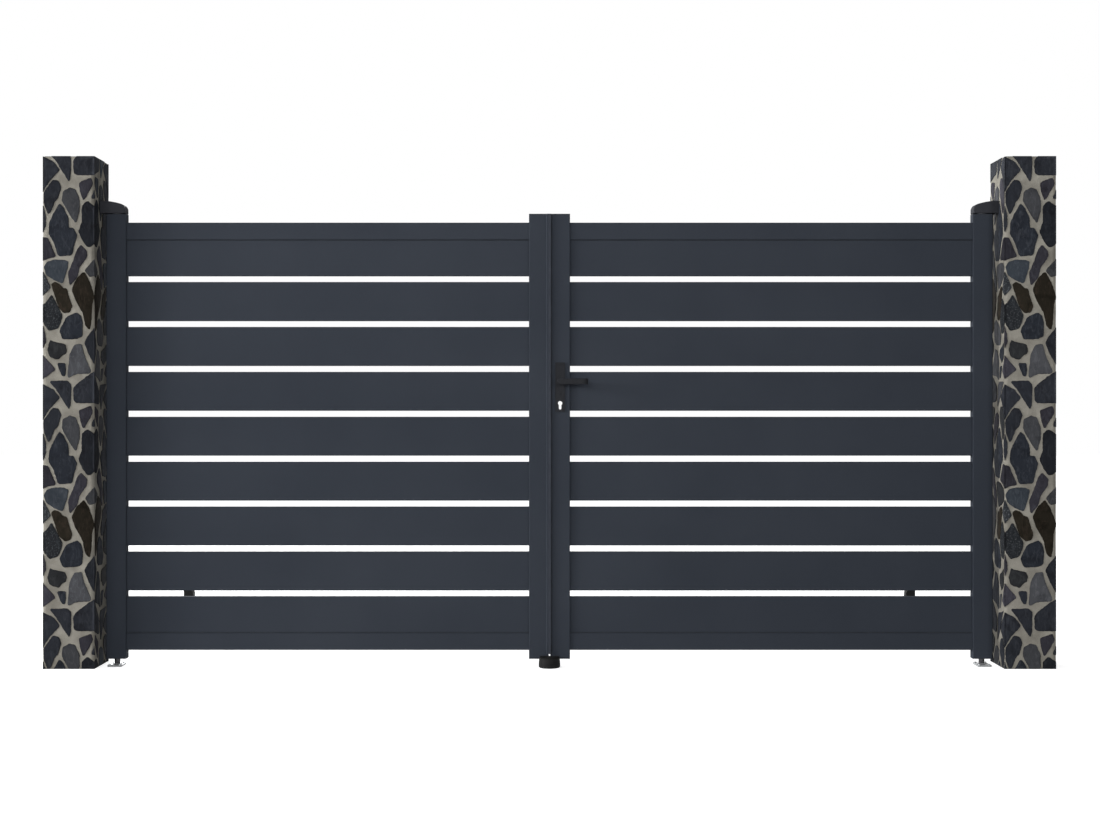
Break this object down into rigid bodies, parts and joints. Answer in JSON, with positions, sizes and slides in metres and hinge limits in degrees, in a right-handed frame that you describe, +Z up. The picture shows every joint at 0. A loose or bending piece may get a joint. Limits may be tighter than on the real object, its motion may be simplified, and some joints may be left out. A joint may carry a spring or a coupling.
{
  "type": "swing gate",
  "caption": "Two-leaf slatted aluminium driveway gate hung between stone-clad pillars, with a lever lock, ground pivots and leaf stops.",
  "frame": {"origin": "centre of the left pillar's foot, on the ground", "axes": "+X along the closed gate to the right pillar, +Y the way the leaves open, away from the lever side seen in the picture, +Z up"},
  "size_m": [3.9, 1.608, 1.974],
  "materials": {
    "slate_stone": "split slate stones in beige mortar",
    "anthracite_coat": "fine matt anthracite powder coat",
    "hinge_coat": "matt dark grey powder coat on a casting",
    "pivot_steel": "dark greased steel",
    "galvanised_steel": "zinc plated",
    "stop_coat": "satin black paint",
    "buffer_rubber": "black rubber",
    "seal_rubber": "anthracite rubber lip",
    "cap_plastic": "dark grey moulded plastic",
    "lock_steel": "brushed stainless steel",
    "lever_coat": "satin anthracite coat"
  },
  "bodies": {
    "pillars": {"left_pillar": "slate_stone", "right_pillar": "slate_stone", "left_top_hinge": "hinge_coat", "right_top_hinge": "hinge_coat", "left_top_pin": "pivot_steel", "right_top_pin": "pivot_steel", "left_ground_plate": "galvanised_steel", "right_ground_plate": "galvanised_steel", "left_ground_pin": "pivot_steel", "right_ground_pin": "pivot_steel", "left_side_stop": "stop_coat", "right_side_stop": "stop_coat", "left_side_buffer": "buffer_rubber", "right_side_buffer": "buffer_rubber", "centre_stop": "stop_coat"},
    "left_leaf": {"left_hinge_stile": "anthracite_coat", "left_meeting_stile": "anthracite_coat", "left_stile_caps": "cap_plastic", "left_bottom_rail": "anthracite_coat", "left_top_rail": "anthracite_coat", "left_slat_1": "anthracite_coat", "left_slat_2": "anthracite_coat", "left_slat_3": "anthracite_coat", "left_slat_4": "anthracite_coat", "left_slat_5": "anthracite_coat", "left_slat_6": "anthracite_coat", "left_slat_7": "anthracite_coat", "left_slat_8": "anthracite_coat", "left_slat_9": "anthracite_coat", "left_cover_strip": "anthracite_coat", "left_seal_lip": "seal_rubber", "left_strike_plate": "lock_steel"},
    "right_leaf": {"right_hinge_stile": "anthracite_coat", "right_meeting_stile": "anthracite_coat", "right_stile_caps": "cap_plastic", "right_bottom_rail": "anthracite_coat", "right_top_rail": "anthracite_coat", "right_slat_1": "anthracite_coat", "right_slat_2": "anthracite_coat", "right_slat_3": "anthracite_coat", "right_slat_4": "anthracite_coat", "right_slat_5": "anthracite_coat", "right_slat_6": "anthracite_coat", "right_slat_7": "anthracite_coat", "right_slat_8": "anthracite_coat", "right_slat_9": "anthracite_coat", "lock_case": "lock_steel", "lock_bolts": "lock_steel", "lock_front_plate": "lever_coat", "lock_back_plate": "lever_coat"},
    "handle": {"front_lever": "lever_coat", "back_lever": "lever_coat", "lever_spindle": "lock_steel"}
  },
  "joints": [
    {"name": "left_leaf_swing", "type": "hinge", "parent": "pillars", "child": "left_leaf", "pos_m": [0.1615, 0, 0.027], "axis": [0, 0, 1], "range_deg": [0, 90]},
    {"name": "right_leaf_swing", "type": "hinge", "parent": "pillars", "child": "right_leaf", "pos_m": [3.5385, 0, 0.027], "axis": [0, 0, -1], "range_deg": [0, 90]},
    {"name": "handle_turn", "type": "hinge", "parent": "right_leaf", "child": "handle", "pos_m": [1.8915, 0, 1.107], "axis": [0, 1, 0], "range_deg": [0, 40], "stiffness_Nm_per_rad": 1.5, "springref_deg": -11.46}
  ]
}
